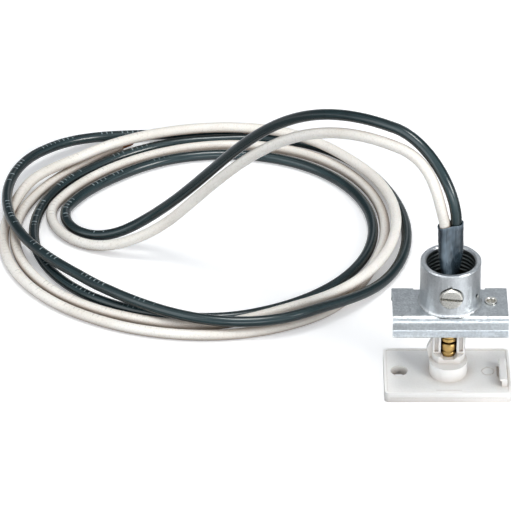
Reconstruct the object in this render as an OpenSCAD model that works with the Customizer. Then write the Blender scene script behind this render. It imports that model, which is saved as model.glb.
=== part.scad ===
// Two-lead contact holder with a clamp hub.
// A white moulded base carries a slotted tower with a sprung brass contact and
// a fixed contact blade. A pressed saddle with a threaded clamp hub slides on
// the tower, and two coiled leads leave upwards through the hub in a sleeve.
// Frame: origin on the hub axis in the plane of the base's underside,
// X to the right, Y to the back, Z up. All lengths in millimetres.

/* [Base moulding] */
// Distance from the hub axis to the left end of the base
base_left = 25.6; // [25:0.1:28]
// Distance from the hub axis to the right end of the base
base_right = 24.7; // [24.3:0.1:27]
// Distance from the hub axis to the front edge of the base
base_front = 17.8; // [16:0.1:20]
// Distance from the hub axis to the back edge of the base
base_back = 12.9; // [11:0.1:15]
// Thickness of the base slab
base_t = 4.4; // [4:0.1:5]
// Corner radius of the base slab
base_corner = 1.8; // [1:0.1:3]
// Diameter of the fixing hole
fix_hole_d = 6.8; // [4:0.1:8]
// Diameter of the round pedestal
pedestal_d = 15.1; // [14.5:0.1:16]
// How far the pedestal sits in front of the hub axis
pedestal_y = 2.6; // [1.5:0.1:3]
// Height of the pedestal's top above the underside
pedestal_top = 10.1; // [9.5:0.1:10.5]

/* [Contact tower] */
// Radius of the tower
tower_r = 6.7; // [6.6:0.1:6.9]
// Height of the tower's top
tower_top = 42.5; // [42:0.5:44]
// Width of the contact window
window_w = 6.3; // [5.6:0.1:6.4]
// Free travel of the sprung contact
contact_travel = 1; // [0.4:0.1:1.2]

/* [Saddle and hub] */
// Length of the saddle bracket
saddle_l = 45.6; // [44:0.2:48]
// Height of the saddle's top face
saddle_top = 37.1; // [36.6:0.1:37.6]
// Sheet thickness of the saddle
sheet_t = 1.1; // [0.9:0.1:1.2]
// Outside diameter of the clamp hub
hub_od = 24; // [23.6:0.1:24.4]
// Bore of the clamp hub
hub_id = 19.4; // [19:0.1:20]
// Height of the clamp hub above the saddle
hub_h = 19.3; // [18:0.1:22]
// Diameter of the clamp screw's head
screw_head_d = 9.1; // [8:0.1:9.3]

/* [Leads] */
// Outside diameter of each lead
lead_d = 4.4; // [4:0.1:4.4]
// Centre of the coil, to the left of the hub axis
coil_x = -96; // [-98:0.5:-94]
// Centre of the coil, behind the hub axis
coil_y = 97; // [95:0.5:99]
// Mean radius of the coil's inner lane
coil_r = 64.5; // [62:0.5:67]
// How far the coil is drawn out into an oval
coil_oval = 4.5; // [2:0.5:6]
// Direction of the oval's long axis, in degrees
coil_lean = 18; // [10:1:25]
// Spacing of the lanes in which strands lie side by side
lane_pitch = 4.7; // [4.7:0.1:5]

/* [Hidden] */
$fn = 64;
white_color = [0.93, 0.93, 0.91];
brass_color = [0.80, 0.62, 0.30];
copper_color = [0.72, 0.45, 0.25];

over = 1;  // how far a cut runs past the surface it opens
sink = 0.5;  // how far a tier of the base starts inside the one below

// Base and tower. Each "front" is a distance in front of the hub axis.
fix_hole_at = [-19.5, -2.1];
tier_top = 13.1;
tier_front = 5.3;
tower_front = 2.6;
window_top = 34;
skirt_x = -1.1;
skirt_front = 0.8;
bore_r = 3.3;
cavity_low = 30.5;
cavity_r = 5.2;
groove_low = saddle_top + 0.1;  // groove for the retaining ring
groove_h = 0.9;
groove_r = 6.1;

// Contacts
barrel_low = 18.6;
barrel_flange_h = 1;
spring_pocket = 7.4;  // depth of the barrel's lower bore
wire_r = 0.22;
tip_r = 1.6;
head_low = 11;
head_top = barrel_low - contact_travel - 0.5;
blade_w = 3.1;
blade_t = 0.5;
blade_y = 4.25;
blade_low = 0.7;
blade_foot = 3;
crimp_low = cavity_low + 1.9;
crimp_top = 36.6;
crimp_bore_low = 33;
crimp_bore_r = 1.25;
white_crimp_at = [-0.4, -2.2];
black_crimp_at = -white_crimp_at;

// Saddle and hub
saddle_half = saddle_l / 2;
flat_front = 10.2;
flat_back = 7.3;
back_leg_x = 14.2;
bend_r = 2.8;
foot_r = 1.2;
foot_l = 2.2;
leg_drop = 5.1;
bush_at = [16.2, -0.9];
bush_r = 2.45;
hub_r = hub_od / 2;
screw_z = 46;
spotface_y = hub_r - 1.1;

lead_r = lead_d / 2;
floor_gap = 0.1;

// ---------------------------------------------------------------- helpers
module round_rect(x0, x1, y0, y1, radius) {
  translate([x0 + radius, y0]) square([x1 - x0 - 2 * radius, y1 - y0]);
  translate([x0, y0 + radius]) square([x1 - x0, y1 - y0 - 2 * radius]);
  for (x = [x0 + radius, x1 - radius], y = [y0 + radius, y1 - radius])
    translate([x, y]) circle(radius);
}
// Block centred in X on the given place, running back and up from it
module block(size, at) {
  translate([at[0] - size[0] / 2, at[1], at[2]]) cube(size);
}
// Low ring, less than 2 high
module low_ring(height, outer, inner) {
  difference() {
    cylinder(h = height, r = outer);
    translate([0, 0, -1]) cylinder(h = 3, r = inner);
  }
}
module flat_ring(outer, inner) {
  difference() {
    circle(outer);
    circle(inner);
  }
}

function unit(v) = v / norm(v);
function sum(values, i = 0) = i < len(values) ? values[i] + sum(values, i + 1) : 0;
// 0 before the start, 1 after the end, and a smooth rise between
function ease(part) = let (u = max(0, min(1, part))) u * u * (3 - 2 * u);
// Cubic curve between two knots, each [point, direction, handle before, handle after]
function curve(from, to, part) = let (
  leave = from[0] + from[3] * unit(from[1]),
  arrive = to[0] - to[2] * unit(to[1]),
  rest = 1 - part)
  rest * rest * rest * from[0] + 3 * rest * rest * part * leave
  + 3 * rest * part * part * arrive + part * part * part * to[0];
function tangents(path) = let (last = len(path) - 1)
  [for (i = [0:last]) unit(path[min(i + 1, last)] - path[max(i - 1, 0)])];
// Normals carried along a curve without twist
function square_off(normal, tangent) = unit(normal - (normal * tangent) * tangent);
function normals(along, first) = let (count = len(along))
  [for (i = 0, normal = square_off(first, along[0]); i < count;
    normal = square_off(normal, along[min(i + 1, count - 1)]), i = i + 1) normal];
// Face j between two rings of points that start at indices a and b
function quad(a, b, j, sides) = let (next = (j + 1) % sides) [a + j, b + j, b + next, a + next];

// Closed solid of round section swept along a list of points
module sweep(path, radius, sides, first_normal) {
  along = tangents(path);
  across = normals(along, first_normal);
  last = len(path) - 1;
  points = [for (i = [0:last], j = [0:sides - 1])
    let (side = cross(along[i], across[i]), angle = 360 * j / sides)
    path[i] + radius * (cos(angle) * across[i] + sin(angle) * side)];
  start_cap = [for (j = [0:sides - 1]) j];
  end_cap = [for (j = [sides - 1:-1:0]) last * sides + j];
  walls = [for (i = [0:last - 1], j = [0:sides - 1]) quad(i * sides, (i + 1) * sides, j, sides)];
  polyhedron(points, concat([start_cap], [end_cap], walls), convexity = 12);
}

// ---------------------------------------------------------------- base
module base_plan(inset, radius, right_inset) {
  round_rect(-base_left + inset, base_right - right_inset,
    -base_front + inset, base_back - inset, radius);
}
module slab() {
  rim = 1;
  field_depth = 0.25;
  wall = 2;
  right_wall = 4.6;
  hollow_h = 1.6;
  rib_t = 1.4;
  difference() {
    linear_extrude(base_t) base_plan(0, base_corner, 0);
    // shallow field inside a narrow border
    translate([0, 0, base_t - field_depth]) linear_extrude(over)
      base_plan(rim, base_corner - 0.8, rim);
    // hollow underside, with two bosses and two ribs left standing
    translate([0, 0, -over]) linear_extrude(hollow_h + over) difference() {
      base_plan(wall, 1.5, right_wall);
      translate(fix_hole_at) circle(d = fix_hole_d + 3.6);
      translate([0, -pedestal_y / 2]) circle(9.2);
      for (x = [-11.8, 11.4])
        translate([x - rib_t / 2, -base_front]) square([rib_t, base_front + base_back]);
    }
  }
}
// Upright bar with a lip that points towards the tower
module latch() {
  // [x, z]
  profile = [[21, base_t - 0.9], [23.2, base_t - 0.9], [23.2, 7.2], [22.6, 7.8],
    [20.6, 7.8], [20.1, 7.2], [21, 6.7]];
  translate([0, 1.1, 0]) rotate([90, 0, 0]) linear_extrude(14.1) polygon(profile);
}
// Skirt round the back of the tower's foot, set back behind the uprights
module skirt() {
  // [radius, z]
  profile = [[0, base_t - sink], [6.2, base_t - sink], [6.5, 8.6], [7.6, 14.2],
    [7.3, 15], [5.7, 18.4], [0, 18.4]];
  intersection() {
    translate([skirt_x, 0, 0]) rotate_extrude() polygon(profile);
    block([24, 12, 30], [0, -skirt_front, 0]);
  }
}
// Stage of the tower with a flat front, standing on the pedestal
module tower_stage(front, top) {
  translate([0, 0, pedestal_top - sink]) linear_extrude(top - pedestal_top + sink)
    intersection() {
      circle(tower_r);
      translate([-tower_r, -front]) square([2 * tower_r, tower_r + front]);
    }
}
module base_body() {
  slab();
  latch();
  skirt();
  translate([0, -pedestal_y, base_t - sink])
    cylinder(h = pedestal_top - base_t + sink, d = pedestal_d);
  tower_stage(tier_front, tier_top);
  tower_stage(tower_front, cavity_low);
  translate([0, 0, cavity_low]) cylinder(h = tower_top - cavity_low, r = tower_r);
  // low rib in front of the pedestal
  block([10, 0.5, 0.5], [0, -15.4, base_t - 0.6]);
}
module tower_cuts() {
  slot_w = blade_w + 0.3;
  slot_y = blade_y - 0.1;
  groove_foot = tier_top + 0.7;
  // contact bore and window
  translate([0, 0, -over]) cylinder(h = head_low + over, r = tip_r + 0.1);
  translate([0, 0, head_low - 0.02]) cylinder(h = 40, r = bore_r);
  block([window_w, tower_r + over, window_top - tier_top], [0, -tower_r - over, tier_top]);
  // dropped sill in front of the contact
  translate([0, -4, 0]) rotate([90, 0, 0]) linear_extrude(9, center = true)
    polygon([[-2, 11.7], [2, 11.7], [3.6, tier_top + 0.1], [-3.6, tier_top + 0.1]]);
  // lead chamber
  translate([0, 0, cavity_low]) cylinder(h = 20, r = cavity_r);
  // grooves down the fronts of the two uprights
  for (x = [-4.85, 4.85])
    block([1.5, 1.8, cavity_low - groove_foot], [x, -tower_front - over, groove_foot]);
  // slot for the fixed blade and its foot
  block([slot_w, blade_t + 0.2, 34], [0, slot_y, -over]);
  block([slot_w, blade_foot + 0.3, 2.4], [0, slot_y, -over]);
  // groove for the retaining ring
  translate([0, 0, groove_low]) low_ring(groove_h, tower_r + 2, groove_r);
}
module slab_cuts() {
  // fixing hole
  translate([fix_hole_at[0], fix_hole_at[1], -over]) cylinder(h = 8, d = fix_hole_d);
  // shallow pocket beside the latch
  translate([19.4, -6, base_t - 1.1]) cube([1.6, 6.6, 2]);
  // witness ring
  translate([15.9, -2.6, base_t - 0.45]) low_ring(over, 2.7, 2.25);
  // parting line along the front edge
  translate([-base_left + 2, -base_front - over, 2])
    cube([base_left + base_right - 4, over + 0.12, 0.25]);
}
module base_moulding() {
  color(white_color) difference() {
    union() base_body();
    tower_cuts();
    slab_cuts();
  }
}

// ---------------------------------------------------------------- contacts
module contact_barrel() {
  flange_top = cavity_low + barrel_flange_h;
  flange_low = cavity_low + 0.02;
  color(brass_color) difference() {
    union() {
      translate([0, 0, barrel_low]) cylinder(h = flange_top - barrel_low, r = bore_r - 0.05);
      // flange, cut flat at the back
      intersection() {
        translate([0, 0, flange_low]) cylinder(h = flange_top - flange_low, r = 4.7);
        block([12, 9.9, 2], [0, -6, cavity_low]);
      }
    }
    translate([0, 0, barrel_low - over]) cylinder(h = spring_pocket + over, r = 2.6);
    translate([0, 0, barrel_low]) cylinder(h = 20, r = 1.55);
    // turned relief above the mouth
    translate([0, 0, barrel_low + 1.3]) low_ring(0.5, 4, 3);
  }
}
// Tip, grooved head and stem, turned in one
module contact_plunger() {
  // [radius, z], from the tip up
  profile = [[0, 0.6], [1, 0.6], [tip_r, 1.2], [tip_r, head_low], [2.7, head_low],
    [3.2, head_low + 0.5], [3.2, head_low + 1.9], [2.8, head_low + 2.3], [2.8, head_low + 3],
    [3.2, head_low + 3.4], [3.2, head_top - 0.6], [2.7, head_top], [1.5, head_top],
    [1.5, 28.6], [1.2, 29], [0, 29]];
  color(brass_color) rotate_extrude() polygon(profile);
}
// Spring between the plunger's head and the end of the barrel's lower bore
module plunger_spring() {
  turns = 6.5;
  coil_mean_r = 2.08;
  end_gap = wire_r + 0.05;
  low = head_top + end_gap;
  high = barrel_low + spring_pocket - end_gap;
  steps = 16 * turns;
  path = [for (i = [0:steps]) let (angle = 360 * turns * i / steps)
    [coil_mean_r * cos(angle), coil_mean_r * sin(angle), low + (high - low) * i / steps]];
  color([0.75, 0.76, 0.78]) sweep(path, wire_r, 6, [0, 0, 1]);
}
module contact_blade() {
  color(brass_color) {
    block([blade_w, blade_t, 32.8], [0, blade_y, blade_low]);
    block([blade_w, blade_foot, blade_t], [0, blade_y, blade_low]);
  }
}
module insulating_washer() {
  color([0.55, 0.36, 0.2]) difference() {
    translate([0, 0, cavity_low + 1.04]) cylinder(h = 0.8, r = 5.1);
    // openings for the blade and the white crimp's pin
    block([blade_w + 0.4, 3, 20], [0, blade_y - 0.1, 20]);
    translate([white_crimp_at[0], white_crimp_at[1], 20]) cylinder(h = 20, r = 1.25);
  }
}
module crimp(at) {
  difference() {
    translate([at[0], at[1], crimp_low]) cylinder(h = crimp_top - crimp_low, r = 1.8);
    translate([at[0], at[1], crimp_bore_low]) cylinder(h = 10, r = crimp_bore_r);
  }
}
// Crimp with a pin below, down to the barrel's flange
module white_crimp() {
  color(brass_color) {
    crimp(white_crimp_at);
    translate([white_crimp_at[0], white_crimp_at[1], cavity_low + 1.02])
      cylinder(h = 1.2, r = 1.15);
  }
}
// Crimp with a tab at the back, up to the blade
module black_crimp() {
  color(brass_color) {
    crimp(black_crimp_at);
    translate([-0.5, 3.6, crimp_low]) cube([1.6, 0.63, 1.1]);
  }
}

// ---------------------------------------------------------------- top of the tower
module tower_grommet() {
  color([0.09, 0.09, 0.1]) difference() {
    union() {
      translate([0, 0, tower_top + 0.02]) cylinder(h = 2.6, r = 8.2);
      translate([0, 0, tower_top + 2.6]) cylinder(h = 0.5, r = 7.4);
      // plug inside the lead chamber
      translate([0, 0, tower_top - 2]) cylinder(h = 2.1, r = cavity_r - 0.04);
    }
    translate([0, 0, 30]) cylinder(h = 30, r = 4.7);
  }
}
// Flat ring, open at the back, with a small hole on each side of the gap
module retaining_ring() {
  color([0.55, 0.56, 0.58]) translate([0, 0, groove_low + 0.05])
    linear_extrude(groove_h - 0.1) difference() {
      circle(8.4);
      circle(groove_r + 0.05);
      translate([-2, 0]) square([4, 12]);
      for (x = [-3.4, 3.4]) translate([x, 6.55]) circle(0.55, $fn = 24);
    }
}

// ---------------------------------------------------------------- saddle
// Section of one leg: x outwards from the flat's edge, y upwards from the top face
module leg_section() {
  // shoulder
  intersection() {
    translate([0, -bend_r]) flat_ring(bend_r, bend_r - sheet_t);
    translate([0, -bend_r]) square([bend_r, bend_r]);
  }
  // upright
  translate([bend_r - sheet_t, -leg_drop]) square([sheet_t, leg_drop - bend_r]);
  // foot turned out by 45 degrees on a rounded bend
  translate([bend_r + foot_r, -leg_drop]) {
    intersection() {
      flat_ring(foot_r + sheet_t, foot_r);
      polygon([[0, 0], [-6, 0], [-6, -6]]);
    }
    rotate([0, 0, 45]) translate([-foot_r - sheet_t, -foot_l]) square([sheet_t, foot_l]);
  }
}
// Leg from x0 to x1 along the flat's edge at y; side is 1 at the back, -1 at the front
module leg(x0, x1, y, side) {
  translate([x0, y, saddle_top]) rotate([90, 0, 90]) linear_extrude(x1 - x0)
    if (side > 0) leg_section(); else mirror([1, 0]) leg_section();
}
module saddle_bracket() {
  sheet_low = saddle_top - sheet_t;
  color([0.68, 0.71, 0.73]) difference() {
    union() {
      block([saddle_l, flat_front + flat_back, sheet_t], [0, -flat_front, sheet_low]);
      // rounded lobe under the back of the hub
      translate([0, 0, sheet_low]) intersection() {
        cylinder(h = sheet_t, r = hub_r + 1.2);
        block([40, 20, sheet_t], [0, 0, 0]);
      }
      leg(-saddle_half, saddle_half, -flat_front, -1);
      leg(-saddle_half, -back_leg_x, flat_back, 1);
      leg(back_leg_x, saddle_half, flat_back, 1);
    }
    // holes for the tower and the bush
    translate([0, 0, 20]) cylinder(h = 30, r = tower_r + 0.08);
    translate([bush_at[0], bush_at[1], 20]) cylinder(h = 30, r = bush_r + 0.07);
  }
}

// ---------------------------------------------------------------- hub
// Wall with five thread grooves in the upper part of the bore
module hub_wall() {
  bore = hub_id / 2;
  low = saddle_top - 1;
  top = saddle_top + hub_h;
  pitch = 1.8;
  // one groove: [depth, height from the hub's top]
  groove = [[0, -2.5], [0.45, -2.9], [0, -3.3]];
  rotate_extrude() polygon(concat(
    [[bore, low], [hub_r, low], [hub_r, top - 0.5], [hub_r - 0.5, top],
      [bore + 0.7, top], [bore, top - 0.7]],
    [for (i = [0:4], p = groove) [bore + p[0], top + p[1] - pitch * i]]));
}
// Hollow flare at the root, trimmed at the front
module root_flare() {
  width = 0.7;
  height = 1.8;
  hollow_r = (height * height + width * width) / 2 / width;
  intersection() {
    rotate_extrude() difference() {
      translate([hub_r - 1, saddle_top]) square([width + 1, height]);
      translate([hub_r + hollow_r, saddle_top + height]) circle(hollow_r, $fn = 128);
    }
    block([40, 40, 80], [0, -hub_r - 0.3, 0]);
  }
}
// Underside: flat, with the front of the wall sloping down over the shoulder bend
module underside_cut() {
  // the slope touches the bend this far in front of the flat
  touch = 1.2;
  touch_h = sqrt(bend_r * bend_r - touch * touch);
  slope = touch / touch_h;
  slope_start = flat_front + touch - (bend_r - touch_h) / slope;
  run = 3;
  depth = 4;
  translate([-20, 0, 0]) rotate([90, 0, 90]) linear_extrude(40)
    polygon([[20, saddle_top], [-slope_start, saddle_top],
      [-slope_start - run, saddle_top - run * slope],
      [-slope_start - run, saddle_top - depth], [20, saddle_top - depth]]);
}
module hub_collar() {
  color([0.72, 0.75, 0.78]) difference() {
    union() {
      hub_wall();
      root_flare();
    }
    underside_cut();
    // spotface and tapped hole for the clamp screw
    translate([0, -spotface_y, screw_z]) rotate([90, 0, 0])
      cylinder(h = 10, r = screw_head_d / 2 + 0.35);
    translate([0, 0, screw_z]) rotate([90, 0, 0]) cylinder(h = 20, r = 2.5);
    // small drilled hole at the front right
    translate([0, 0, 43.6]) rotate([0, 0, -32]) rotate([0, 90, 0]) cylinder(h = 20, r = 0.8);
    // tool mark above the screw
    translate([-1.6, -hub_r - 0.6, screw_z + 4.2]) rotate([0, 0, 8]) cube([1.9, 1, 1.7]);
  }
}
module clamp_screw() {
  head_r = screw_head_d / 2;
  shank_r = 2.45;
  seat = spotface_y + 0.02;
  // [radius, distance in front of the hub axis]
  profile = [[0, 8.9], [1.9, 8.9], [shank_r, 9.5], [shank_r, seat], [head_r, seat],
    [head_r, spotface_y + 1.3], [head_r - 0.2, spotface_y + 1.7],
    [head_r - 0.7, spotface_y + 1.95], [0, spotface_y + 2.15]];
  color([0.7, 0.7, 0.68]) translate([0, 0, screw_z]) rotate([90, 0, 0]) difference() {
    rotate_extrude() polygon(profile);
    // driver slot
    rotate([0, 0, -6]) translate([-8, -0.5, spotface_y + 1]) cube([16, 1, 4]);
  }
}
module threaded_bush() {
  low = 33.4;
  collar_low = 34.6;
  color([0.62, 0.64, 0.66]) translate([bush_at[0], bush_at[1], 0]) difference() {
    union() {
      translate([0, 0, low]) cylinder(h = saddle_top + 0.55 - low, r = bush_r);
      // collar below the saddle
      translate([0, 0, collar_low])
        cylinder(h = saddle_top - sheet_t - 0.02 - collar_low, r = 3.4);
    }
    translate([0, 0, 30]) cylinder(h = 10, r = 1.65);
    translate([0, 0, saddle_top + 0.1]) cylinder(h = 1, r1 = 1.6, r2 = 2.4);
  }
}

// ---------------------------------------------------------------- lay of the leads
// The leads rise side by side through the sleeve, twist nearly a quarter turn,
// arch over to the coil, turn round a hook inside it and run clockwise for
// a little over two turns. On the floor they lie in oval lanes. Lane 0 is the
// inner one, and a strand that crosses others climbs one layer.
pair_r = 2.25;  // from the pair's centre to each lead's centre
stem_lean = -0.7;  // the pair leans a little to the left as it rises
stem_low = 37;
stem_high = 73.5;
stem_steps = 10;
coil_start = 160;  // degrees
coil_step = 5;  // degrees
layer_h = 4.8;
floor_z = lead_r + floor_gap;
coil_centre = [coil_x, coil_y, 0];
arch_steps = [12, 18, 9, 9];

function twist(z) = 80 * (1 - ease((z - 44) / 24));
function lean(z) = stem_lean * ease((z - 50) / 34);
function stem_point(side, z) =
  [side * pair_r * cos(twist(z)) + lean(z), side * pair_r * sin(twist(z)), z];
function total(moves, travel) =
  sum([for (move = moves) move[2] * ease((travel - move[0]) / (move[1] - move[0]))]);
function coil_point(lane, moves, lifts, travel) = let (
  angle = coil_start - travel,
  radius = coil_r + coil_oval * cos(2 * (angle - coil_lean))
    + lane_pitch * (lane + total(moves, travel)))
  [coil_x + radius * cos(angle), coil_y + radius * sin(angle),
    floor_z + layer_h * total(lifts, travel)];

// Stem, arch and coil of one lead. The arch's last knot is the coil's first point,
// and landing is the handle before it.
function lead_line(side, arch, landing, lane, moves, lifts, end) = let (
  start = coil_point(lane, moves, lifts, 0),
  knots = concat(arch, [[start, coil_point(lane, moves, lifts, 1) - start, landing, 0]]))
  concat(
    [for (i = [0:stem_steps - 1])
      stem_point(side, stem_low + (stem_high - stem_low) * i / stem_steps)],
    [for (k = [0:3], i = [0:arch_steps[k] - 1]) curve(knots[k], knots[k + 1], i / arch_steps[k])],
    [for (travel = [0:coil_step:end]) coil_point(lane, moves, lifts, travel)]);

// Arch: exit from the sleeve, crest, foot of the arch and hook, each
// [point, direction, handle before, handle after].
// Moves and lifts: [from, to, lanes outwards or layers up], in degrees travelled.
black_line = lead_line(side = 1,
  arch = [[stem_point(1, stem_high), [0, 0, 1], 0, 16],
    [[-22, 23, 103], [-0.82, 0.57, 0], 15, 60],
    [coil_centre + [-22, -8.5, 19], [-0.66, 0.3, -0.69], 50, 13],
    [coil_centre + [-54, 2, floor_z], [-0.82, 0.57, 0], 14, 8]],
  landing = 6,
  lane = -0.5,
  moves = [[20, 60, 0.5], [235, 278, -0.45], [282, 380, 2.45], [380, 420, 0.5],
    [430, 462, 0.9], [462, 500, -0.6], [500, 540, 0.4], [580, 655, -3.9],
    [660, 738, 6.8], [742, 785, -2.2]],
  lifts = [[540, 578, 1.2], [725, 775, -1.2]],
  end = 800);
white_line = lead_line(side = -1,
  arch = [[stem_point(-1, stem_high), [-0.25, 0, 1], 0, 14],
    [[-21, 17.3, 97.7], [-0.79, 0.6, 0], 17, 50],
    [coil_centre + [-12, -17, 25], [-0.61, 0.22, -0.76], 42, 18],
    [coil_centre + [-55, -5, floor_z], [-0.83, 0.56, 0], 17, 11]],
  landing = 11,
  lane = 0.7,
  moves = [[0, 100, 1], [100, 160, -0.65], [170, 215, 1.6], [225, 275, -0.5],
    [280, 350, 1.75], [360, 385, -0.9], [450, 485, -0.95], [550, 632, -1.35],
    [635, 715, 2.3], [740, 765, 0.7]],
  lifts = [[343, 369, 1], [575, 615, -1]],
  end = 760);

// ---------------------------------------------------------------- sleeve and leads
// Oval tube that turns with the pair of leads inside it, its top end on a slant
module shrink_sleeve() {
  low = tower_top + 3.2;
  steps = 12;
  sides = 24;
  slant = 0.22;
  // half-axes of the outer and inner ovals
  ovals = [[5.45, 3.2], [5.02, 2.78]];
  points = [for (oval = ovals, i = [0:steps], j = [0:sides - 1])
    let (part = i / steps, z = low + (stem_high - low) * part, turn = twist(z),
      angle = 360 * j / sides,
      x = oval[0] * cos(angle) * cos(turn) - oval[1] * sin(angle) * sin(turn),
      y = oval[0] * cos(angle) * sin(turn) + oval[1] * sin(angle) * cos(turn))
    [x + lean(z), y, z + slant * x * pow(part, 4)]];
  inner = (steps + 1) * sides;
  top = steps * sides;
  // pairs of rings to join: outer wall, inner wall, bottom and top rims
  joints = concat(
    [for (i = [0:steps - 1]) [i * sides, (i + 1) * sides]],
    [for (i = [0:steps - 1]) [inner + (i + 1) * sides, inner + i * sides]],
    [[inner, 0], [top, inner + top]]);
  quads = [for (joint = joints, j = [0:sides - 1]) quad(joint[0], joint[1], j, sides)];
  faces = [for (q = quads, k = [1, 2]) [q[0], q[k], q[k + 1]]];
  color([0.16, 0.2, 0.23]) polyhedron(points, faces, convexity = 6);
}
module insulation(line) {
  sweep(line, lead_r, 8, [0, 1, 0.1]);
}
module black_lead_insulation() {
  color([0.12, 0.16, 0.17]) insulation(black_line);
}
module white_lead_insulation() {
  color([0.92, 0.91, 0.88]) insulation(white_line);
}
// Bare core at both ends of a lead: in its crimp, and beyond the coil
module core_tips(line, at) {
  core_r = 1.2;
  gap = 0.02;
  bare_l = 6;
  low = crimp_bore_low + 0.05;
  last = len(line) - 1;
  ahead = unit(line[last] - line[last - 1]);
  translate([at[0], at[1], low]) cylinder(h = stem_low - gap - low, r = core_r);
  sweep([line[last] + gap * ahead, line[last] + bare_l * ahead], core_r, 16, [0, 0, 1]);
}
module black_lead_core() {
  color(copper_color) core_tips(black_line, black_crimp_at);
}
module white_lead_core() {
  color(copper_color) core_tips(white_line, white_crimp_at);
}

base_moulding();
contact_barrel();
contact_plunger();
plunger_spring();
contact_blade();
insulating_washer();
tower_grommet();
retaining_ring();
saddle_bracket();
hub_collar();
clamp_screw();
threaded_bush();
shrink_sleeve();
black_lead_insulation();
black_lead_core();
black_crimp();
white_lead_insulation();
white_lead_core();
white_crimp();
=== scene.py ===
# A spring-contact holder with a white moulded base, a steel saddle bracket and a metal hub.
# A black and a white lead leave the hub through a shrink sleeve and run off towards -X.
# Metres, Z up: the hub's axis is the Z axis, the floor lies just under z = 0, and the
# camera looks along +Y and down.
import math, random
import bpy, bmesh
import numpy as np
from mathutils import Vector, Matrix

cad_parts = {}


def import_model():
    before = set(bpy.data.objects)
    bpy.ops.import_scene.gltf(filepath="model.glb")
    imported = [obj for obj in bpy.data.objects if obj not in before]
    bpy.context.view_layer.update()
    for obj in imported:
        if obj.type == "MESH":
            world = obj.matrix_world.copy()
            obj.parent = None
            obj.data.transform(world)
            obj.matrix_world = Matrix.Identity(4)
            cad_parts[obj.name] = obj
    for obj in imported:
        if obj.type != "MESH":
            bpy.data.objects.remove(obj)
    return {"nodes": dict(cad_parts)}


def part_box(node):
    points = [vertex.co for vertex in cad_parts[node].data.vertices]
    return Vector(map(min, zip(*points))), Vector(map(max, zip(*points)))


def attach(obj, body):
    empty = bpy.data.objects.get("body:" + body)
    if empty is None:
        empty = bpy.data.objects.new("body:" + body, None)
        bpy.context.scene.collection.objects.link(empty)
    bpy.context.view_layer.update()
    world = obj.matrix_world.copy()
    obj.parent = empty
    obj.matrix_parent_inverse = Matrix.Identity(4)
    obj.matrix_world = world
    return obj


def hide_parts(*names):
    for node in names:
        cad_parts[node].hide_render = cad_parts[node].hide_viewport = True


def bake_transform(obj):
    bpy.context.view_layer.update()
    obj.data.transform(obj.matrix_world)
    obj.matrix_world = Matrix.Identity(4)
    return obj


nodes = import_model()["nodes"]
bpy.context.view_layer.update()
scene = bpy.context.scene
MM = 0.001
random.seed(7)

# ------------------------------------------------------------------ node helpers


def rgb(red, green, blue):
    """Linear colour from 0 to 255 display values."""
    return tuple(((c / 255 + 0.055) / 1.055) ** 2.4 if c > 10 else c / 255 / 12.92
                 for c in (red, green, blue))


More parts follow.
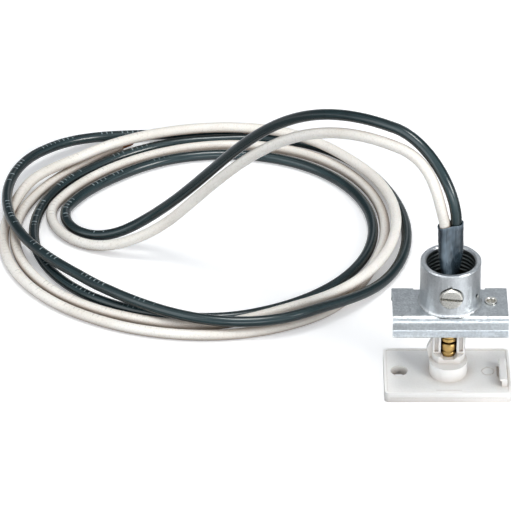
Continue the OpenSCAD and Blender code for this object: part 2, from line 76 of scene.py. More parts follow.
class Graph:
    """Builds a shader node tree step by step; most methods return an output socket."""

    def __init__(self, tree):
        self.tree = tree

    def node(self, kind, **props):
        made = self.tree.nodes.new(kind)
        for key, value in props.items():
            setattr(made, key, value)
        return made

    def put(self, socket, value):
        """Links a socket, or sets a plain value."""
        if isinstance(value, bpy.types.NodeSocket):
            self.tree.links.new(value, socket)
        elif isinstance(value, (tuple, list)) and len(value) == 3 and socket.type == "RGBA":
            socket.default_value = (*value, 1)
        else:
            socket.default_value = value

    def math(self, operation, first, second=None, clamp=False):
        made = self.node("ShaderNodeMath", operation=operation, use_clamp=clamp)
        self.put(made.inputs[0], first)
        if second is not None:
            self.put(made.inputs[1], second)
        return made.outputs[0]

    def add(self, first, second):
        return self.math("ADD", first, second)

    def mul(self, first, second, clamp=False):
        return self.math("MULTIPLY", first, second, clamp)

    def weigh(self, *parts):
        """Sum of (socket, weight) pairs."""
        total = self.mul(*parts[0])
        for part in parts[1:]:
            total = self.add(total, self.mul(*part))
        return total

    def coords(self, kind="Object"):
        return self.node("ShaderNodeTexCoord").outputs[kind]

    def normal(self):
        return self.node("ShaderNodeNewGeometry").outputs["Normal"]

    def xyz(self, vector):
        made = self.node("ShaderNodeSeparateXYZ")
        self.put(made.inputs[0], vector)
        return made.outputs

    def noise(self, coords, scale=1.0, detail=3, rough=0.5, dist=0.0, stretch=None, turn=0.0):
        """Noise; stretch scales each axis first and turn is an angle about Z."""
        if stretch:
            mapping = self.node("ShaderNodeMapping")
            self.put(mapping.inputs["Vector"], coords)
            mapping.inputs["Scale"].default_value = stretch
            mapping.inputs["Rotation"].default_value = (0, 0, turn)
            coords = mapping.outputs[0]
        made = self.node("ShaderNodeTexNoise")
        for key, value in (("Vector", coords), ("Scale", scale), ("Detail", detail),
                           ("Roughness", rough), ("Distortion", dist)):
            self.put(made.inputs[key], value)
        return made.outputs["Fac"]

    def cells(self, coords, scale):
        made = self.node("ShaderNodeTexVoronoi", feature="SMOOTH_F1")
        self.put(made.inputs["Vector"], coords)
        made.inputs["Scale"].default_value = scale
        return made.outputs["Distance"]

    def ramp(self, factor, stops):
        """Colour ramp from (position, colour) stops."""
        made = self.node("ShaderNodeValToRGB")
        self.put(made.inputs[0], factor)
        elements = made.color_ramp.elements
        while len(elements) < len(stops):
            elements.new(0.5)
        for element, (position, color) in zip(elements, stops):
            element.position = position
            element.color = (*color, 1)
        return made.outputs[0]

    def remap(self, value, span, to=(0, 1)):
        made = self.node("ShaderNodeMapRange")
        self.put(made.inputs[0], value)
        for i, limit in enumerate((*span, *to)):
            made.inputs[1 + i].default_value = limit
        return made.outputs[0]

    def mix(self, factor, color, to, mode="MIX"):
        made = self.node("ShaderNodeMix", data_type="RGBA", blend_type=mode)
        self.put(made.inputs[0], factor)
        self.put(made.inputs[6], color)
        self.put(made.inputs[7], to)
        return made.outputs[2]

    def tint(self, color, mask, amount, to):
        """Mixes a colour towards another by mask times amount."""
        return self.mix(self.mul(mask, amount, clamp=True), color, to)


class Mat(Graph):
    """A node material around one Principled shader."""

    def __init__(self, name):
        self.material = bpy.data.materials.new(name)
        self.material.use_nodes = True
        super().__init__(self.material.node_tree)
        self.bsdf = self.tree.nodes["Principled BSDF"]

    def set(self, **values):
        """Sets shader inputs, with underscores for spaces, and returns the material."""
        for key, value in values.items():
            self.put(self.bsdf.inputs[key.replace("_", " ")], value)
        return self.material

    def bump(self, height, strength, depth):
        made = self.node("ShaderNodeBump")
        self.put(made.inputs["Height"], height)
        made.inputs["Strength"].default_value = strength
        made.inputs["Distance"].default_value = depth
        return made.outputs[0]

    def paint_recess_shade(self, color, reach, span, amount, to):
        """Paints shade into recesses: in full at the low end of the occlusion span, not at all at
        the high.
        """
        occlusion = self.node("ShaderNodeAmbientOcclusion", samples=6)
        occlusion.inputs["Distance"].default_value = reach
        mask = self.remap(occlusion.outputs["AO"], span=span, to=(1, 0))
        return self.tint(color, mask, amount, to)

    def tint_inside(self, color, reach, amount, to):
        """Tints by occlusion measured inside the piece."""
        occlusion = self.node("ShaderNodeAmbientOcclusion", samples=6, inside=True,
                              only_local=True)
        occlusion.inputs["Distance"].default_value = reach
        mask = self.remap(occlusion.outputs["AO"], span=(0.02, 0.6))
        return self.tint(color, mask, amount, to)

    def facing(self, span):
        """1 where the surface faces the viewer, 0 towards its outline."""
        weight = self.node("ShaderNodeLayerWeight")
        weight.inputs["Blend"].default_value = 0.5
        return self.remap(weight.outputs["Facing"], span=span)


# ------------------------------------------------------------------ materials
# Noise scales and stretches are per metre, reaches and depths in metres.


def moulding_material():
    """Off-white thermoset; its low upward faces are darker and speckled, partly its grain and
    partly painted shade, with brownish painted shade in its corners.
    """
    mat = Mat("white_moulding")
    place = mat.coords()
    cloud = mat.noise(place, scale=75, detail=4, rough=0.6)
    speck = mat.noise(place, scale=1500, detail=3, rough=0.7)
    fine = mat.noise(place, scale=3400, detail=2, rough=0.5)
    flow = mat.noise(place, stretch=(260, 40, 260), detail=3, rough=0.55)
    color = mat.ramp(mat.weigh((cloud, 0.55), (speck, 0.45)),
                     [(0.32, rgb(213, 208, 202)), (0.52, rgb(227, 224, 219)),
                      (0.7, rgb(240, 236, 229))])
    normal_z = mat.xyz(mat.normal())[2]
    height = mat.xyz(place)[2]
    # Darker speckled colour on the low upward faces: the moulding's grain, with painted shade on
    # those faces
    top = mat.remap(normal_z, span=(0.8, 0.98))
    shaded_top_field = mat.mul(top, mat.remap(height, span=(0.0042, 0.00435), to=(1, 0)))
    speckle_and_shade = mat.ramp(speck, [(0.43, rgb(170, 163, 156)), (0.57, rgb(222, 217, 211))])
    color = mat.tint(color, shaded_top_field, amount=0.62, to=speckle_and_shade)
    color = mat.tint_inside(color, reach=0.0007, amount=0.85, to=rgb(252, 251, 248))
    # Brownish painted shade in corners and recesses
    color = mat.paint_recess_shade(color, reach=0.005, span=(0.3, 0.92), amount=0.6,
                            to=rgb(150, 128, 106))
    rough = mat.remap(mat.add(flow, mat.mul(shaded_top_field, 0.5)), span=(0.2, 1.2), to=(0.38, 0.62))
    relief = mat.weigh((mat.mul(fine, mat.add(shaded_top_field, 0.25)), 0.8), (flow, 0.6))
    return mat.set(Base_Color=color, Roughness=rough, Subsurface_Weight=0.08,
                   Normal=mat.bump(relief, strength=0.3, depth=0.00014),
                   Subsurface_Radius=(0.0016, 0.0013, 0.001), Subsurface_Scale=0.5,
                   Specular_IOR_Level=0.42)


def saddle_material():
    """Bright steel sheet with streaks along X, mottling, painted bands of highlight and shade up
    its legs, and painted shade in its creases.
    """
    mat = Mat("saddle_sheet")
    place = mat.coords()
    grain = mat.cells(place, scale=1250)
    cloud = mat.noise(place, scale=330, detail=6, rough=0.7, dist=0.5)
    broad = mat.noise(place, scale=60, detail=3, rough=0.5)
    streak = mat.noise(place, stretch=(38, 900, 900), detail=5, rough=0.65)
    scratch = mat.noise(place, stretch=(90, 2600, 2600), turn=0.05, detail=2, rough=0.5)
    pattern = mat.weigh((cloud, 0.45), (grain, 0.35), (streak, 0.3))
    color = mat.ramp(pattern, [(0.46, rgb(110, 116, 110)), (0.54, rgb(176, 182, 177)),
                               (0.62, rgb(228, 232, 230))])
    color = mat.mix(mat.remap(scratch, span=(0.62, 0.72), to=(0, 0.4)), color,
                    rgb(214, 220, 224))
    # Painted highlights and shade in bands up the legs, following the bends
    height = mat.remap(mat.xyz(place)[2], span=(0.0288, 0.0368))
    leg_light_bands = mat.ramp(height, [
        (0.0, (0.62, 0.66, 0.72)), (0.1, (1.0, 1.0, 1.0)), (0.2, (0.85, 0.9, 0.98)),
        (0.33, (0.42, 0.5, 0.6)), (0.4, (1.0, 1.0, 1.0)), (0.52, (0.97, 0.98, 1.0)),
        (0.66, (0.72, 0.75, 0.79)), (0.8, (0.9, 0.93, 0.97)), (1.0, (1, 1, 1))])
    color = mat.mix(1.0, color, leg_light_bands, mode="MULTIPLY")
    color = mat.tint_inside(color, reach=0.0005, amount=0.75, to=rgb(230, 235, 238))
    # Painted shade in creases and recesses
    color = mat.paint_recess_shade(color, reach=0.002, span=(0.3, 0.75), amount=0.7,
                            to=rgb(58, 62, 64))
    rough = mat.add(mat.remap(pattern, span=(0.2, 0.9), to=(0.30, 0.44)),
                    mat.remap(broad, span=(0.3, 0.7), to=(-0.04, 0.04)))
    mottle = mat.noise(place, scale=620, detail=3, rough=0.6)
    relief = mat.add(mat.mul(grain, 0.5), mat.weigh((mottle, 1.3), (streak, 0.5)))
    return mat.set(Base_Color=color, Metallic=1.0, Roughness=rough,
                   Normal=mat.bump(relief, strength=0.6, depth=0.00022))


def hub_material():
    """Turned collar: turning lines round it, soft vertical rub marks, painted shade darkening its
    bore, and painted shade in its recesses.
    """
    bore_radius = 0.01035
    mat = Mat("hub_metal")
    place = mat.coords()
    turning = mat.noise(place, stretch=(60, 60, 2400), detail=3, rough=0.6)
    rub = mat.noise(place, stretch=(520, 520, 46), detail=4, rough=0.65)
    grain = mat.cells(place, scale=1400)
    cloud = mat.noise(place, scale=260, detail=5, rough=0.65, dist=0.4)
    pattern = mat.weigh((rub, 0.4), (cloud, 0.35), (grain, 0.28))
    color = mat.ramp(pattern, [(0.43, rgb(128, 129, 124)), (0.51, rgb(194, 196, 193)),
                               (0.6, rgb(242, 244, 245))])
    color = mat.tint_inside(color, reach=0.0006, amount=0.85, to=rgb(236, 240, 242))
    # Painted shade inside the bore, below its rim
    x, y, z = mat.xyz(place)
    radius = mat.math("SQRT", mat.add(mat.mul(x, x), mat.mul(y, y)))
    bore = mat.math("LESS_THAN", radius, bore_radius)
    depth = mat.remap(z, span=(0.0545, 0.0565), to=(1, 0))
    bore_shade = mat.mul(bore, depth, clamp=True)
    bore_shade_color = mat.ramp(cloud, [(0.35, rgb(22, 34, 32)), (0.7, rgb(72, 84, 80))])
    color = mat.tint(color, bore_shade, amount=0.86, to=bore_shade_color)
    # Painted shade in recesses
    color = mat.paint_recess_shade(color, reach=0.0016, span=(0.25, 0.7), amount=0.75,
                            to=rgb(52, 50, 46))
    rough = mat.add(mat.remap(pattern, span=(0.2, 0.9), to=(0.25, 0.40)), mat.mul(bore_shade, 0.12))
    mottle = mat.noise(place, stretch=(620, 620, 330), detail=4, rough=0.6, dist=0.4)
    relief = mat.add(mat.mul(turning, 0.45), mat.weigh((grain, 0.4), (mottle, 1.6)))
    return mat.set(Base_Color=color, Metallic=1.0, Roughness=rough,
                   Normal=mat.bump(relief, strength=0.65, depth=0.00024))


def steel_material(name, base, rough, stretch, recess_shade=(40, 36, 30)):
    """Spotted steel with streaks set by stretch, and painted shade in its recesses."""
    mat = Mat(name)
    place = mat.coords()
    streak = mat.noise(place, stretch=stretch, detail=4, rough=0.6)
    spots = mat.noise(place, scale=900, detail=4, rough=0.6)
    color = mat.ramp(mat.weigh((streak, 0.5), (spots, 0.5)),
                     [(0.3, tuple(c * 0.6 for c in base)),
                      (0.5, tuple(c * 0.85 for c in base)), (0.72, base)])
    color = mat.tint_inside(color, reach=0.0005, amount=0.85, to=rgb(240, 237, 228))
    # Painted shade in recesses
    color = mat.paint_recess_shade(color, reach=0.0011, span=(0.3, 0.8), amount=0.9, to=rgb(*recess_shade))
    return mat.set(Base_Color=color, Metallic=1.0,
                   Roughness=mat.remap(spots, span=(0.2, 0.8), to=(rough - 0.06, rough + 0.12)),
                   Normal=mat.bump(mat.add(streak, spots), strength=0.25, depth=0.00007))


def brass_material():
    """Tarnished brass with turning lines round Z, and painted shade in its recesses."""
    mat = Mat("contact_brass")
    place = mat.coords()
    turning = mat.noise(place, stretch=(60, 60, 5200), detail=3, rough=0.6)
    tarnish = mat.noise(place, scale=520, detail=5, rough=0.65, dist=0.8)
    color = mat.ramp(tarnish, [(0.3, rgb(84, 50, 20)), (0.5, rgb(168, 112, 48)),
                               (0.72, rgb(226, 176, 96))])
    color = mat.tint_inside(color, reach=0.0004, amount=0.8, to=rgb(250, 214, 140))
    # Painted shade in recesses
    color = mat.paint_recess_shade(color, reach=0.0045, span=(0.12, 0.8), amount=0.95,
                            to=rgb(36, 22, 12))
    return mat.set(Base_Color=color, Metallic=1.0,
                   Roughness=mat.remap(tarnish, span=(0.2, 0.8), to=(0.42, 0.24)),
                   Normal=mat.bump(turning, strength=0.3, depth=0.00006))


def rubber_material():
    """Black rubber with a paler bloom."""
    base = rgb(24, 25, 27)
    mat = Mat("black_rubber")
    place = mat.coords()
    fine = mat.noise(place, scale=1500, detail=4, rough=0.6)
    bloom = mat.noise(place, scale=160, detail=4, rough=0.6)
    color = mat.ramp(bloom, [(0.35, base), (0.75, tuple(c * 1.9 + 0.008 for c in base))])
    return mat.set(Base_Color=color,
                   Roughness=mat.remap(fine, span=(0.2, 0.8), to=(0.52, 0.7)),
                   Normal=mat.bump(fine, strength=0.35, depth=0.0001))


def fibre_material():
    """Brown fibre board, layered along Z."""
    mat = Mat("fibre")
    layers = mat.noise(mat.coords(), stretch=(900, 900, 4000), detail=5, rough=0.7)
    color = mat.ramp(layers, [(0.3, rgb(96, 58, 30)), (0.7, rgb(140, 92, 52))])
    return mat.set(Base_Color=color, Roughness=0.7,
                   Normal=mat.bump(layers, strength=0.4, depth=0.0001))


def insulation_material(name, base, dark, tick, tick_amount, rough, light=False):
    """Extruded lead insulation: u runs along the lead in millimetres, v once round it."""
    tick_pitch = 2.3
    group_pitch = 31.0
    mat = Mat(name)
    uv = mat.coords("UV")
    along = mat.xyz(uv)[0]
    place = mat.coords()
    streak = mat.noise(uv, stretch=(0.05, 34, 1), detail=3, rough=0.6)
    cloud = mat.noise(place, scale=180, detail=4, rough=0.6)
    dust = mat.noise(place, scale=1400, detail=4, rough=0.7)
    fine = mat.noise(place, scale=3600, detail=2, rough=0.5)
    color = mat.ramp(mat.weigh((streak, 0.5), (cloud, 0.5)), [(0.3, dark), (0.72, base)])

    # Worn tick marks in short groups, on upward faces of the outlying stretch of lead
    cell = mat.math("FLOOR", mat.math("DIVIDE", along, tick_pitch))
    within = mat.math("FRACT", mat.math("DIVIDE", along, tick_pitch))
    group = mat.math("FRACT", mat.math("DIVIDE", along, group_pitch))
    in_group = mat.math("LESS_THAN", group, 0.62)
    chance = mat.node("ShaderNodeTexWhiteNoise", noise_dimensions="1D")
    mat.put(chance.inputs["W"], cell)
    present = mat.math("GREATER_THAN", chance.outputs["Value"], 0.25)
    off_centre = mat.math("ABSOLUTE", mat.math("SUBTRACT", within, 0.5))
    bar = mat.remap(off_centre, span=(0.08, 0.14), to=(1, 0))
    normal_z = mat.xyz(mat.normal())[2]
    x = mat.xyz(place)[0]
    band = mat.mul(mat.remap(normal_z, span=(0.86, 0.92)), mat.remap(x, span=(-0.112, -0.13)))
    wear = mat.remap(mat.noise(place, scale=260, detail=3, rough=0.6), span=(0.35, 0.6),
                     to=(0.35, 1))
    mask = mat.mul(mat.mul(in_group, present), mat.mul(bar, band))
    color = mat.mix(mat.mul(mat.mul(mask, wear), tick_amount), color, tick)

    if light:
        # Handling marks, and brownish painted shade where the leads lie close together
        marks = mat.noise(place, scale=24, detail=2, rough=0.5)
        color = mat.mix(mat.remap(marks, span=(0.42, 0.62), to=(0, 0.4)), color,
                        rgb(216, 207, 194))
        color = mat.mix(mat.remap(dust, span=(0.52, 0.68), to=(0, 0.4)), color,
                        rgb(200, 190, 176))
        color = mat.paint_recess_shade(color, reach=0.006, span=(0.2, 0.88), amount=0.8,
                                to=rgb(140, 112, 88))
    else:
        # Dust, painted shade in recesses, and a streaky painted sheen on the side towards the
        # viewer
        color = mat.mix(mat.remap(dust, span=(0.6, 0.76), to=(0, 0.25)), color,
                        rgb(96, 108, 110))
        color = mat.paint_recess_shade(color, reach=0.004, span=(0.15, 0.7), amount=0.7,
                                to=rgb(8, 12, 12))
        color = mat.tint(color, mat.facing(span=(0.36, 0.1)),
                         amount=mat.remap(streak, span=(0.35, 0.6), to=(0.1, 0.5)),
                         to=rgb(66, 88, 92))
    relief = mat.add(mat.mul(streak, 0.7), mat.weigh((fine, 0.25), (cloud, 0.6)))
    if light:
        mat.set(Subsurface_Weight=0.12, Subsurface_Radius=(0.0014, 0.0011, 0.0009),
                Subsurface_Scale=0.5)
    return mat.set(Base_Color=color,
                   Roughness=mat.remap(mat.weigh((streak, 0.6), (dust, 0.4)),
                                       span=(0.2, 0.8), to=(rough - 0.07, rough + 0.12)),
                   Normal=mat.bump(relief, strength=0.22, depth=0.00014),
                   Specular_IOR_Level=0.5 if light else 0.35,
                   Coat_Weight=0.0 if light else 0.7, Coat_Roughness=0.16)


def sleeve_material():
    """Dark shrink sleeve, streaked along Z and paler towards its top end, with a painted highlight
    on the side towards the viewer.
    """
    mat = Mat("shrink_sleeve")
    place = mat.coords()
    streak = mat.noise(place, stretch=(520, 520, 26), detail=4, rough=0.6)
    cloud = mat.noise(place, scale=150, detail=4, rough=0.6)
    dust = mat.noise(place, scale=1500, detail=4, rough=0.7)
    color = mat.ramp(mat.weigh((streak, 0.5), (cloud, 0.5)),
                     [(0.3, rgb(22, 32, 38)), (0.7, rgb(50, 64, 73))])
    color = mat.mix(mat.remap(dust, span=(0.58, 0.75), to=(0, 0.3)), color, rgb(96, 110, 120))
    color = mat.mix(mat.remap(mat.xyz(place)[2], span=(0.0735, 0.0715), to=(0.5, 0)), color,
                    rgb(112, 126, 138))
    # Painted highlight on the side towards the viewer
    color = mat.tint(color, mat.facing(span=(0.34, 0.06)),
                     amount=mat.remap(streak, span=(0.34, 0.6), to=(0.35, 1.0)),
                     to=rgb(116, 132, 144))
    relief = mat.add(streak, mat.mul(cloud, 1.6))
    return mat.set(Base_Color=color,
                   Roughness=mat.remap(streak, span=(0.2, 0.8), to=(0.2, 0.36)),
                   Normal=mat.bump(relief, strength=0.5, depth=0.0003),
                   Specular_IOR_Level=0.8)


def copper_material():
    """Bare copper wire, with painted shade between the strands."""
    mat = Mat("copper_strand")
    mottle = mat.noise(mat.coords(), scale=900, detail=4, rough=0.6)
    color = mat.ramp(mottle, [(0.3, rgb(140, 92, 58)), (0.7, rgb(206, 150, 108))])
    # Painted shade between the strands
    color = mat.paint_recess_shade(color, reach=0.0005, span=(0.2, 0.8), amount=0.7,
                            to=rgb(70, 34, 18))
    return mat.set(Base_Color=color, Metallic=1.0,
                   Roughness=mat.remap(mottle, span=(0.2, 0.8), to=(0.25, 0.42)),
                   Normal=mat.bump(mottle, strength=0.2, depth=0.00005))


MOULD = moulding_material()
SADDLE = saddle_material()
HUB = hub_material()
SCREW = steel_material("screw_steel", base=rgb(200, 198, 190), rough=0.24,
                       stretch=(160, 900, 700))
BUSH = steel_material("bush_steel", base=rgb(196, 200, 203), rough=0.30,
                      stretch=(60, 60, 3000), recess_shade=(30, 32, 33))
SPRING = steel_material("spring_steel", base=rgb(170, 173, 176), rough=0.28,
                        stretch=(800, 800, 800))
BRASS = brass_material()
GROMMET = rubber_material()
FIBRE = fibre_material()
BLACK = insulation_material("black_insulation", base=rgb(19, 43, 45), dark=rgb(7, 21, 23),
                            tick=rgb(170, 184, 188), tick_amount=0.7, rough=0.2)
WHITE = insulation_material("white_insulation", base=rgb(255, 252, 245),
                            dark=rgb(246, 241, 232), tick=rgb(158, 154, 148),
                            tick_amount=0.4, rough=0.40, light=True)
SLEEVE = sleeve_material()
COPPER = copper_material()

# ------------------------------------------------------------------ finish of the CAD nodes

# node: (material, bevel width in mm, 0 for none)
FINISH = {
    "base_moulding": (MOULD, 0.28), "contact_barrel": (BRASS, 0.08),
    "contact_plunger": (BRASS, 0.1), "plunger_spring": (SPRING, 0),
    "contact_blade": (BRASS, 0.05), "insulating_washer": (FIBRE, 0.05),
    "tower_grommet": (GROMMET, 0.2), "retaining_ring": (SPRING, 0.08),
    "saddle_bracket": (SADDLE, 0.2), "hub_collar": (HUB, 0.14),
    "clamp_screw": (SCREW, 0.1), "threaded_bush": (BUSH, 0.1),
    "shrink_sleeve": (SLEEVE, 0), "black_lead_insulation": (BLACK, 0),
    "black_lead_core": (COPPER, 0), "black_crimp": (BRASS, 0.05),
    "white_lead_insulation": (WHITE, 0), "white_lead_core": (COPPER, 0),
    "white_crimp": (BRASS, 0.05)}


def add_bevel(ob, name, width, angle):
    bevel = ob.modifiers.new(name, "BEVEL")
    bevel.width = width * MM
    bevel.segments = 2
    bevel.limit_method = "ANGLE"
    bevel.angle_limit = math.radians(angle)
    return bevel


for name, (material, width) in FINISH.items():
    slots = nodes[name].data.materials
    if len(slots) == 0:
        slots.append(material)
    else:
        for i in range(len(slots)):
            slots[i] = material
    if width:
        bevel = add_bevel(nodes[name], "edge_break", width=width, angle=38)
        bevel.use_clamp_overlap = True
        bevel.harden_normals = True
        bevel.miter_outer = "MITER_ARC"

# ------------------------------------------------------------------ mesh helpers


def new_object(name, verts, faces, material, uvs=None):
    """Smooth-shaded object; uvs holds one (u, v) pair for each face corner."""
    mesh = bpy.data.meshes.new(name)
    mesh.from_pydata([tuple(v) for v in verts], [], faces)
    if uvs is not None:
        layer = mesh.uv_layers.new(name="UVMap")
        layer.data.foreach_set("uv", [value for pair in uvs for value in pair])
    mesh.polygons.foreach_set("use_smooth", [True] * len(mesh.polygons))
    mesh.validate()
    mesh.update()
    ob = bpy.data.objects.new(name, mesh)
    scene.collection.objects.link(ob)
    mesh.materials.append(material)
    return ob


def ring_quads(low, high, sides):
    """Quads between two rings of vertices, given each ring's first index."""
    return [(low + j, low + (j + 1) % sides, high + (j + 1) % sides, high + j)
            for j in range(sides)]


def tube_faces(first, rings, sides):
    """Walls of a run of rings, then its start cap and its end cap."""
    faces = []
    for i in range(rings - 1):
        faces += ring_quads(first + i * sides, first + (i + 1) * sides, sides)
    last = first + (rings - 1) * sides
    faces.append(tuple(range(first + sides - 1, first - 1, -1)))
    faces.append(tuple(range(last, last + sides)))
    return faces


def path_frames(path):
    """Two cross directions at each point, carried along the path without twist."""
    tangents = np.gradient(path, axis=0)
    tangents /= np.linalg.norm(tangents, axis=1)[:, None]
    normals = np.zeros_like(path)
    side = np.array([0, 1, 0.1])
    for i, tangent in enumerate(tangents):
        side = side - (side @ tangent) * tangent
        side /= np.linalg.norm(side)
        normals[i] = side
    return normals, np.cross(tangents, normals)


def tube(name, path, along, radius, sides, material, wobble=0.0, seed=0):
    """Capped tube; along is the distance to each point, and wobble makes it uneven."""
    end_taper = 0.93
    cap_v = 0.8
    normals, binormals = path_frames(path)
    phase = np.random.default_rng(seed).uniform(0, 6.28, 6)
    last = len(path) - 1
    verts, uvs = [], []
    for i in range(len(path)):
        ring_radius = radius * end_taper if i in (0, last) else radius
        swell = wobble * (math.sin(along[i] * 190 + phase[0])
                          + 0.6 * math.sin(along[i] * 410 + phase[1])) * 0.5
        for j in range(sides):
            angle = 2 * math.pi * j / sides
            reach = ring_radius * (1 + swell * math.cos(2 * angle + phase[2]))
            verts.append(path[i] + reach * (math.cos(angle) * normals[i]
                                            + math.sin(angle) * binormals[i]))
    for i in range(last):
        u0, u1 = along[i] * 1000, along[i + 1] * 1000
        for j in range(sides):
            v0, v1 = j / sides, (j + 1) / sides
            uvs += [(u0, v0), (u0, v1), (u1, v1), (u1, v0)]
    for end in (0, last):
        uvs += [(along[end] * 1000, cap_v)] * sides
    faces = tube_faces(0, len(path), sides)
    ob = new_object(name, verts, faces, material, uvs)
    for cap in (1, 2):
        ob.data.polygons[len(faces) - cap].use_smooth = False
    return ob


# ------------------------------------------------------------------ leads
LEAD_RADIUS = 2.2 * MM
LEAD_SIDES = 28
LEAD_STEP = 0.0021
# A lead's first ring lies below this height and within this distance of the hub's axis
ROOT_TOP = 0.0372
ROOT_REACH = 0.0055
CURVE_STEPS = 6
BOX_TOLERANCE = 0.0012
CORE_LENGTH = 6.2 * MM
CORE_OVERLAP = 0.0003


def centreline(node):
    """Evenly spaced centreline of a lead, read from the rings of its CAD solid."""
    bm = bmesh.new()
    bm.from_mesh(nodes[node].data)
    bmesh.ops.remove_doubles(bm, verts=bm.verts, dist=1e-6)
    bm.verts.ensure_lookup_table()
    ring = [v for v in bm.verts
            if v.co.z < ROOT_TOP and (v.co.x ** 2 + v.co.y ** 2) < ROOT_REACH ** 2]
    seen = {v.index for v in ring}
    centres = []
    while ring:
        centres.append(np.mean([v.co[:] for v in ring], axis=0))
        following = []
        for vert in ring:
            for edge in vert.link_edges:
                other = edge.other_vert(vert)
                if other.index not in seen:
                    seen.add(other.index)
                    following.append(other)
        ring = following
    bm.free()

    # Catmull-Rom curve through the ring centres, with one point added past each end
    rings = np.array(centres)
    knots = np.concatenate([[2 * rings[0] - rings[1]], rings, [2 * rings[-1] - rings[-2]]])
    curve = []
    for k0, k1, k2, k3 in zip(knots, knots[1:], knots[2:], knots[3:]):
        for step in range(CURVE_STEPS):
            t = step / CURVE_STEPS
            curve.append(0.5 * (2 * k1 + (k2 - k0) * t + (2 * k0 - 5 * k1 + 4 * k2 - k3) * t * t
                                + (3 * k1 - k0 - 3 * k2 + k3) * t ** 3))
    curve.append(knots[-2])
    curve = np.array(curve)
    lengths = np.linalg.norm(np.diff(curve, axis=0), axis=1)
    reached = np.concatenate([[0], np.cumsum(lengths)])
    along = np.linspace(0, reached[-1], int(reached[-1] / LEAD_STEP) + 1)
    path = np.stack([np.interp(along, reached, curve[:, i]) for i in range(3)], axis=1)
    return path, along


def twisted_core(name, start, direction, length, base):
    """Nineteen fine wires, one with two layers round it, as bare conductor."""
    wire_radius = 0.235 * MM
    twist = 1.5
    steps, sides = 12, 8
    # (distance from the core's axis, angle in degrees) of each wire
    lay = ([(0, 0.0)] + [(0.47 * MM, 60 * k) for k in range(6)]
           + [(0.93 * MM, 30 * k + 15) for k in range(12)])
    pin_sides, pin_radius = 20, 1.15
    pin_heights = (33.05, 36.98)

    axis = np.array(direction, float)
    axis /= np.linalg.norm(axis)
    across = np.cross(axis, [0, 0, 1.0])
    if np.linalg.norm(across) < 0.1:
        across = np.array([1.0, 0, 0])
    across /= np.linalg.norm(across)
    upward = np.cross(axis, across)
    verts, faces = [], []
    for index, (offset, degrees) in enumerate(lay):
        # The wires are cut to slightly uneven lengths
        cut = length * (1 - 0.04 * ((index * 7) % 5) / 5)
        faces += tube_faces(len(verts), steps + 1, sides)
        for i in range(steps + 1):
            part = i / steps
            turn = math.radians(degrees) + part * twist
            centre = np.array(start) + axis * cut * part + offset * (
                math.cos(turn) * across + math.sin(turn) * upward)
            for j in range(sides):
                angle = 2 * math.pi * j / sides
                verts.append(centre + wire_radius * (math.cos(angle) * across
                                                     + math.sin(angle) * upward))
    # The hidden end inside the tower, a short pin in the crimp
    faces += tube_faces(len(verts), 2, pin_sides)
    for z in pin_heights:
        for j in range(pin_sides):
            angle = 2 * math.pi * j / pin_sides
            verts.append(np.array([base[0] + pin_radius * math.cos(angle),
                                   base[1] + pin_radius * math.sin(angle), z]) * MM)
    return new_object(name, verts, faces, COPPER)


# colour, material, x and y of the pin in mm, seed of the wobble
for shade, material, base, seed in (("black", BLACK, (0.4, 2.2), 3),
                                    ("white", WHITE, (-0.4, -2.2), 5)):
    node = shade + "_lead_insulation"
    path, along = centreline(node)
    lead = tube(shade + "_lead", path, along, LEAD_RADIUS, LEAD_SIDES, material,
                wobble=0.006, seed=seed)
    low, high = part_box(node)
    points = np.array([v.co for v in lead.data.vertices])
    gap = max(np.abs(points.min(0) - np.array(low)).max(),
              np.abs(points.max(0) - np.array(high)).max())
    if gap > BOX_TOLERANCE:
        raise RuntimeError("%s doesn't lie where its CAD node lies: %.2f mm"
                           % (node, gap * 1000))
    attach(lead, "holder")
    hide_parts(node)
    heading = path[-1] - path[-2]
    start = path[-1] - heading / np.linalg.norm(heading) * CORE_OVERLAP
    core = twisted_core(shade + "_core", start, heading, CORE_LENGTH, base)
    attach(core, "holder")
    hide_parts(shade + "_lead_core")

# ------------------------------------------------------------------ plunger spring
# A coil of wire that fills the box of the CAD spring.
WIRE_RADIUS = 0.22 * MM
TURNS = 6.5
COIL_POINTS = 235

low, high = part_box("plunger_spring")
coil_radius = (high.x - low.x) / 2 - WIRE_RADIUS
part = np.linspace(0, 1, COIL_POINTS)
angle = 2 * math.pi * TURNS * part
coil = np.stack([coil_radius * np.cos(angle), coil_radius * np.sin(angle),
                 low.z + WIRE_RADIUS + (high.z - low.z - 2 * WIRE_RADIUS) * part], axis=1)
spring = tube("spring_wire", coil, part * 2 * math.pi * TURNS * coil_radius, WIRE_RADIUS, 12,
              SPRING)
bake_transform(spring)
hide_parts("plunger_spring")

# ------------------------------------------------------------------ shrink sleeve, in mm
SLEEVE_BOTTOM, SLEEVE_TOP = 45.75, 73.5
SLEEVE_RINGS, SLEEVE_SIDES = 64, 72
ROUND_OFFSET, ROUND_RADIUS = 2.25, 2.76
WAIST_DEPTH = 0.34
WALL = 0.46


def smoothstep(value):
    value = min(1, max(0, value))
    return value * value * (3 - 2 * value)


def sleeve_outline(theta, wall):
    """Distance to the edge of a stadium round both leads, its waist drawn in."""
    sine, cosine = abs(math.sin(theta)), abs(math.cos(theta))
    radius = ROUND_RADIUS - wall
    edge = radius / max(sine, 1e-9)
    if cosine * edge > ROUND_OFFSET:
        edge = ROUND_OFFSET * cosine + math.sqrt(
            max(radius * radius - ROUND_OFFSET * ROUND_OFFSET * sine * sine, 0))
    return edge - WAIST_DEPTH * math.exp(-(math.cos(theta) / 0.42) ** 2)


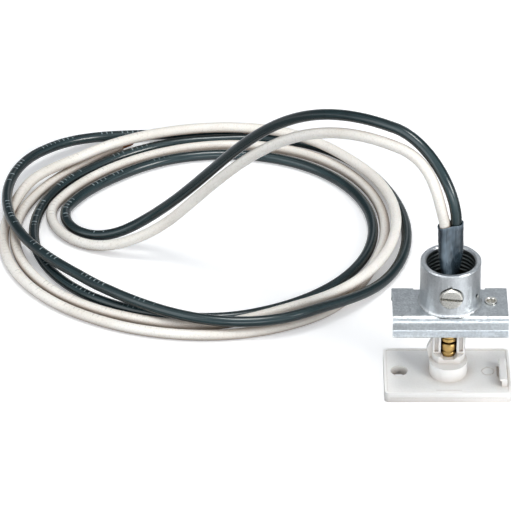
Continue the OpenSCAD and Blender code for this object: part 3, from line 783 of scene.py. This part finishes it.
def make_sleeve():
    """Outer wall upwards, then inner wall downwards, closed into one skin."""
    phase = np.random.default_rng(11).uniform(0, 6.28, 8)
    rows = ([(i, 0.0) for i in range(SLEEVE_RINGS + 1)]
            + [(i, WALL) for i in range(SLEEVE_RINGS, -1, -1)])
    verts, faces = [], []
    for i, wall in rows:
        part = i / SLEEVE_RINGS
        z = SLEEVE_BOTTOM + (SLEEVE_TOP - SLEEVE_BOTTOM) * part
        # Twisted at the foot, leaning to -X higher up, flared near the top
        twist = math.radians(80 * (1 - smoothstep((z - 44) / 24)))
        lean = 0.7 * smoothstep((z - 50) / 34)
        flare = 1.0 + 0.02 * max(0, part - 0.9) / 0.1
        for j in range(SLEEVE_SIDES):
            theta = 2 * math.pi * j / SLEEVE_SIDES
            edge = sleeve_outline(theta, wall) * flare
            edge += (0.035 * math.sin(3 * theta + z * 0.9 + phase[0])
                     + 0.03 * math.sin(5 * theta - z * 1.7 + phase[1]))
            flat_x, flat_y = edge * math.cos(theta), edge * math.sin(theta)
            x = flat_x * math.cos(twist) - flat_y * math.sin(twist) - lean
            y = flat_x * math.sin(twist) + flat_y * math.cos(twist)
            # Uneven lip, fading out downwards
            lip = (0.20 * x + 0.16 * math.sin(2 * theta + phase[2])
                   + 0.10 * math.sin(5 * theta + phase[3])) * part ** 6
            verts.append((x * MM, y * MM, (z + lip) * MM))
    for row in range(len(rows)):
        faces += ring_quads(row * SLEEVE_SIDES, (row + 1) % len(rows) * SLEEVE_SIDES,
                            SLEEVE_SIDES)
    ob = new_object("sleeve", verts, faces, SLEEVE)
    add_bevel(ob, "lip", width=0.12, angle=50)
    return ob


sleeve = make_sleeve()
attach(sleeve, "holder")
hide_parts("shrink_sleeve")

# ------------------------------------------------------------------ floor

# Light and dark sectors round the hub's axis, as (part of a turn, brightness)
CARDS = ((0.0, 0.5), (0.125, 0.8), (0.194, 0.6), (0.236, 0.2), (0.36, 0.24), (0.43, 0.46),
         (0.5, 0.5), (0.56, 0.7), (0.625, 1.0), (0.68, 0.5), (0.75, 0.24), (0.83, 0.3),
         (0.9, 0.7), (1.0, 0.5))


def floor_material():
    """Pale grey to the camera; every other ray meets the sectors instead."""
    mat = Mat("floor")
    place = mat.coords()
    camera_ray = mat.node("ShaderNodeLightPath").outputs["Is Camera Ray"]
    x, y, _ = mat.xyz(place)
    turn = mat.math("ARCTAN2", x, mat.mul(y, -1.0))
    cards = mat.ramp(mat.remap(turn, span=(-math.pi, math.pi)),
                     [(position, (c, c * 1.01, c * 1.03)) for position, c in CARDS])
    plain = mat.ramp(mat.noise(place, scale=6, detail=3, rough=0.5),
                     [(0.3, (0.90, 0.90, 0.90)), (0.7, (0.915, 0.915, 0.915))])
    return mat.set(Base_Color=mat.mix(camera_ray, cards, plain), Roughness=0.8,
                   Emission_Color=(1, 1, 1), Emission_Strength=mat.mul(camera_ray, 0.3),
                   Specular_IOR_Level=0.1)


def make_floor():
    z = -0.00005
    material = floor_material()
    mesh = bpy.data.meshes.new("floor")
    mesh.from_pydata([(-6, -6, z), (6, -6, z), (6, 8, z), (-6, 8, z)], [], [(0, 1, 2, 3)])
    floor = bpy.data.objects.new("floor", mesh)
    mesh.materials.append(material)
    scene.collection.objects.link(floor)


make_floor()

# ------------------------------------------------------------------ world and lights

# Sky colours from straight down (0) to straight up (1)
SKY = [(0.0, (0.30, 0.31, 0.32)), (0.46, (0.52, 0.54, 0.56)), (0.52, (1.5, 1.52, 1.55)),
       (0.60, (0.95, 0.99, 1.05)), (0.70, (0.34, 0.38, 0.44)), (0.84, (0.50, 0.55, 0.62)),
       (1.0, (0.85, 0.86, 0.88))]

# name, place, aim, (width, height), watts, colour
LIGHTS = (
    ("key", (0.95, -0.62, 0.72), (-0.05, 0.05, 0.02), (0.40, 0.40), 7.0, (1.0, 0.98, 0.95)),
    ("fill", (-1.1, -0.7, 0.8), (-0.08, 0.08, 0.02), (1.0, 1.0), 4.2, (1.0, 0.99, 0.975)),
    ("top", (-0.05, 0.02, 1.5), (-0.08, 0.08, 0.0), (0.42, 0.42), 6.6, (1, 0.995, 0.98)),
    ("front", (0.05, -1.5, 0.45), (-0.03, 0.05, 0.02), (0.8, 0.35), 3.2, (0.97, 0.985, 1.0)),
    ("rim", (0.3, 1.5, 0.9), (0, 0.05, 0.03), (0.6, 0.6), 0.8, (0.95, 0.97, 1.0)),
)


def make_world():
    """Banded sky, brighter towards -Y."""
    world = bpy.data.worlds.new("studio")
    scene.world = world
    world.use_nodes = True
    graph = Graph(world.node_tree)
    graph.tree.nodes.clear()
    output = graph.node("ShaderNodeOutputWorld")
    background = graph.node("ShaderNodeBackground")
    _, y, z = graph.xyz(graph.coords("Generated"))
    sky = graph.ramp(graph.remap(z, span=(-1, 1)), SKY)
    graph.put(background.inputs["Color"], sky)
    graph.put(background.inputs["Strength"],
              graph.remap(y, span=(-0.5, 0.5), to=(0.95, 0.36)))
    graph.put(output.inputs[0], background.outputs[0])


make_world()
for name, place, aim, size, watts, color in LIGHTS:
    light = bpy.data.lights.new(name, "AREA")
    light.energy = watts
    light.color = color
    light.shape = "RECTANGLE"
    light.size, light.size_y = size
    ob = bpy.data.objects.new(name, light)
    scene.collection.objects.link(ob)
    ob.location = place
    ob.rotation_euler = (Vector(aim) - Vector(place)).to_track_quat("-Z", "Y").to_euler()

# ------------------------------------------------------------------ camera
PITCH = math.radians(34.5)
# The origin as the camera sees it: right of and below the middle of the frame, 1.8 m away
ORIGIN_RIGHT, ORIGIN_UP, ORIGIN_AWAY = 0.07662, -0.04796, 1.8

forward = Vector((0, math.cos(PITCH), -math.sin(PITCH)))
up = Vector((0, math.sin(PITCH), math.cos(PITCH)))
right = Vector((1, 0, 0))
lens = bpy.data.cameras.new("camera")
camera = bpy.data.objects.new("camera", lens)
scene.collection.objects.link(camera)
lens.sensor_width = 36
lens.lens = 316.40625
lens.clip_end = 20
place = -(right * ORIGIN_RIGHT + up * ORIGIN_UP + forward * ORIGIN_AWAY)
camera.matrix_world = Matrix((*zip(right, up, -forward, place), (0, 0, 0, 1)))
scene.camera = camera
scene.view_settings.view_transform = "Standard"
scene.view_settings.exposure = 0.0
